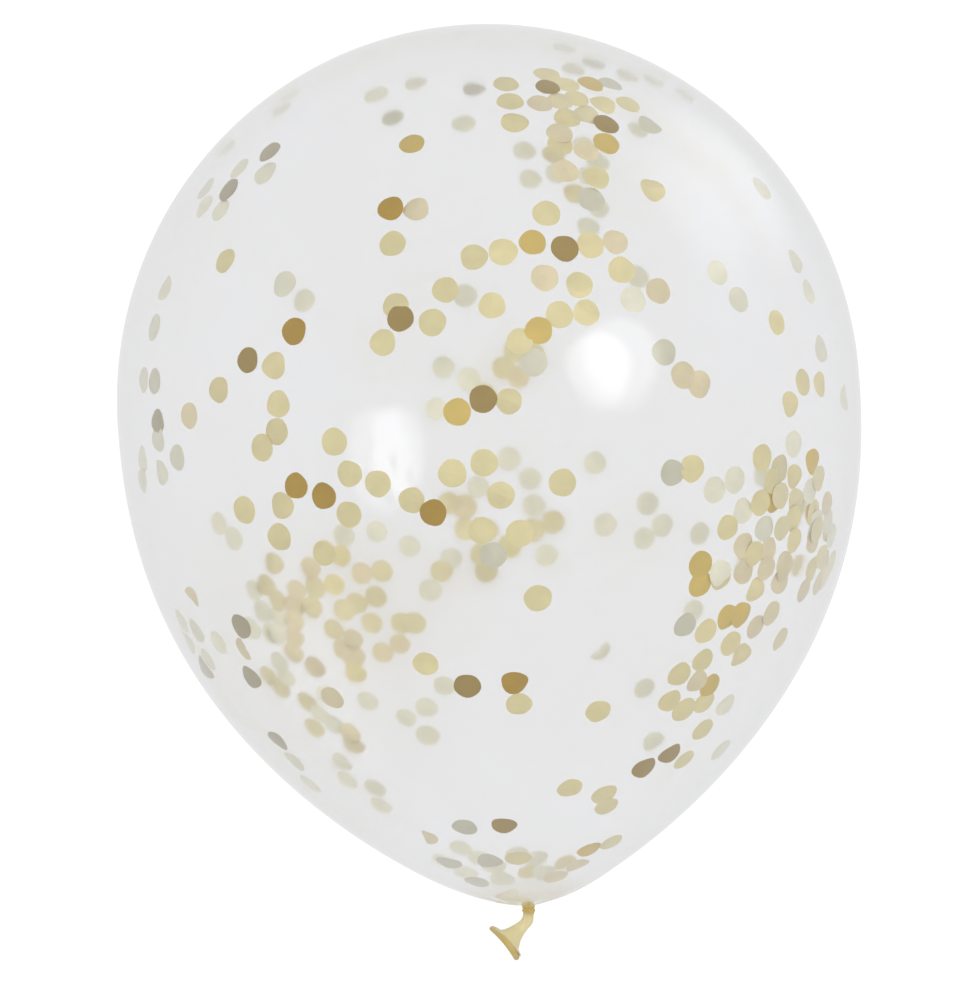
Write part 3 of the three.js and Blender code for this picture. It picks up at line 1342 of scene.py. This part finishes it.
    def _bend(self, tree: Tree, radius: bpy.types.NodeSocket) -> bpy.types.NodeSocket:
        """Adds how far each corner of a disc moves: cut out of round, curled, creased or folded over."""
        local = tree.add("ShaderNodeSeparateXYZ", Vector=tree.named("local", "FLOAT_VECTOR")).outputs
        angle = tree.math("ARCTAN2", local["Y"], local["X"])
        phase = tree.named("spin", "FLOAT")
        wobble = 0.0
        for lobes, depth in self.out_of_round:
            shifted = tree.math("MULTIPLY_ADD", angle, lobes, tree.math("MULTIPLY", phase, lobes))
            wobble = tree.math("MULTIPLY_ADD", tree.math("COSINE", shifted), depth, wobble)
        share = tree.math("DIVIDE", local["X"], radius)
        curl = tree.math("MULTIPLY", tree.math("MULTIPLY", share, share), tree.named("curl", "FLOAT"))
        crease = tree.math("MULTIPLY", tree.math("ABSOLUTE", share), tree.named("crease", "FLOAT"))
        past = tree.math("MAXIMUM", tree.math("SUBTRACT", share, tree.named("fold", "FLOAT")), 0.0)
        folded = tree.math("MINIMUM", tree.math("MULTIPLY", past, self.fold_sharpness), 1.0)
        rise = tree.math("MULTIPLY_ADD", folded, self.fold_gap, tree.math("ADD", curl, crease))
        back = tree.math("MULTIPLY", tree.math("MULTIPLY", past, -2.0), radius)
        across = tree.math("MULTIPLY_ADD", local["X"], wobble, back)
        along = tree.math("MULTIPLY", local["Y"], wobble)
        return tree.add("ShaderNodeCombineXYZ", X=across, Y=along, Z=rise).outputs[0]

    @staticmethod
    def _turn(tree: Tree) -> bpy.types.NodeSocket:
        """Adds the turn of the disc that a corner belongs to."""
        facing = tree.named("facing", "FLOAT_VECTOR")
        aligned = tree.add("FunctionNodeAlignRotationToVector", {"axis": "Z"}, Vector=facing).outputs[0]
        spin = tree.add("FunctionNodeAxisAngleToRotation", Axis=(0, 0, 1), Angle=tree.named("spin", "FLOAT"))
        return tree.add(
            "FunctionNodeRotateRotation",
            {"rotation_space": "LOCAL"},
            Rotation=aligned,
            Rotate_By=spin.outputs[0],
        ).outputs[0]


@dataclass(frozen=True)
class SoftLight:
    """A round or long soft light that fades out at its edge. Its glow adds to the surroundings.

    Its height runs away from the line to the camera, and its width runs round that line.
    """

    name: str
    angle: float
    turn: float
    distance: float
    width: float
    height: float
    radiance: float
    softness: float

    def make(self, sight: Sight, aim: Vector) -> bpy.types.Object:
        """Hangs the light where its reflection falls.

        Args:
            sight: The camera's directions, which the light's place is counted from.
            aim: What it points at.

        Returns:
            The light.
        """
        data = bpy.data.lights.new(self.name, "AREA")
        data.shape = "ELLIPSE"
        data.size, data.size_y = self.width, self.height
        area = math.pi / 4 * self.width * self.height
        data.energy = self.radiance * math.pi * area
        data.use_nodes = True
        place = aim + sight.aside(self.angle, self.turn) * self.distance
        facing = (place - aim).to_track_quat("Z", "Y").to_matrix()
        tree = Tree(data.node_tree)
        spot = tree.add("ShaderNodeNewGeometry").outputs["Position"]
        shift = tree.vector("SUBTRACT", spot, tuple(place))
        across = tree.vector("DOT_PRODUCT", shift, tuple(facing.col[0] * 2 / self.width))
        along = tree.vector("DOT_PRODUCT", shift, tuple(facing.col[1] * 2 / self.height))
        squares = tree.math("MULTIPLY_ADD", across, across, tree.math("MULTIPLY", along, along))
        edge = tree.math("SQRT", squares)
        fade = tree.add(
            "ShaderNodeMapRange",
            {"interpolation_type": "SMOOTHSTEP"},
            Value=edge,
            From_Min=1.0 - self.softness,
            From_Max=1.0,
            To_Min=1.0,
            To_Max=0.0,
        ).outputs[0]
        glow = tree.add("ShaderNodeEmission", Strength=fade)
        tree.add("ShaderNodeOutputLight", Surface=glow.outputs[0])
        light = bpy.data.objects.new(self.name, data)
        light.matrix_world = Matrix.Translation(place) @ facing.to_4x4()
        light.visible_camera = False
        light.visible_transmission = False
        bpy.context.scene.collection.objects.link(light)
        return light


@dataclass
class Studio:
    """Plain pale floor, even light from above, a round soft light and a long one at the side."""

    sight: Sight
    sky: float = 0.82
    floor_tone: float = 0.96
    floor_reach: float = 6.0
    fill_height: float = 2.5
    fill_size: float = 2.5
    fill_power: float = 21.0
    key: SoftLight = SoftLight("key", math.radians(32.8), math.radians(16.8), 1.5, 0.53, 0.61, 2.6, 0.35)
    strip: SoftLight = SoftLight("strip", math.radians(87), math.radians(42), 1.0, 0.86, 0.62, 0.9, 0.8)

    def make(self) -> None:
        """Builds the floor, the lights and the pale surroundings."""
        bpy.context.scene.view_settings.view_transform = "Standard"
        self._surroundings()
        self._floor()
        middle = self.sight.lie.place((0, 0, 0))
        for light in (self.key, self.strip):
            light.make(self.sight, middle)
        self._fill()

    def _surroundings(self) -> None:
        """Makes the pale glow all round."""
        world = bpy.data.worlds.new("studio")
        world.use_nodes = True
        tree = Tree(world.node_tree)
        glow = tree.add("ShaderNodeBackground", Color=(1, 1, 1, 1), Strength=self.sky)
        tree.add("ShaderNodeOutputWorld", Surface=glow.outputs[0])
        bpy.context.scene.world = world

    def _floor(self) -> None:
        """Lays the floor, which takes no part in reflections."""
        reach = self.floor_reach
        corners = np.array([(-reach, -reach, 0), (reach, -reach, 0), (reach, reach, 0), (-reach, reach, 0)])
        floor = mesh_object("floor", corners, [], [(0, 1, 2, 3)])
        material, tree = new_material("floor")
        shade = tree.add("ShaderNodeBsdfDiffuse", Color=(*[self.floor_tone] * 3, 1))
        tree.add("ShaderNodeOutputMaterial", Surface=shade.outputs[0])
        wear(floor, material)
        floor.visible_glossy = False
        floor.visible_shadow = False

    def _fill(self) -> None:
        """Hangs the even light above, which shows in no reflection."""
        data = bpy.data.lights.new("fill", "AREA")
        data.size = self.fill_size
        data.energy = self.fill_power
        fill = bpy.data.objects.new("fill", data)
        fill.location = (0, 0, self.fill_height)
        fill.visible_camera = False
        fill.visible_transmission = False
        fill.visible_glossy = False
        bpy.context.scene.collection.objects.link(fill)


def dress(piece: bpy.types.Object) -> None:
    """Hangs a piece on its body and logs how many faces it has."""
    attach(piece, BODY)
    LOG.info("%s: %d faces", piece.name, len(piece.data.polygons))


def main() -> None:
    """Builds the balloon, its confetti and the studio, and hides the imported solid."""
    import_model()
    form = BalloonForm()
    lie = Lie(form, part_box(SOLID))
    sight = Sight(lie, form)
    sight.camera()
    Studio(sight).make()
    film = Film(form, lie)
    envelope, finder = film.make(ClearLatex().material(lie, form))
    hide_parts(SOLID)
    dress(envelope)
    neck = TiedNeck(form, lie).make(AmberLatex().material())
    dress(neck)
    discs = Confetti(sight, finder, film.thickness).make(Foil().material())
    dress(discs)


if __name__ == "__main__":
    logging.basicConfig(level=logging.INFO, format="%(message)s")
    main()
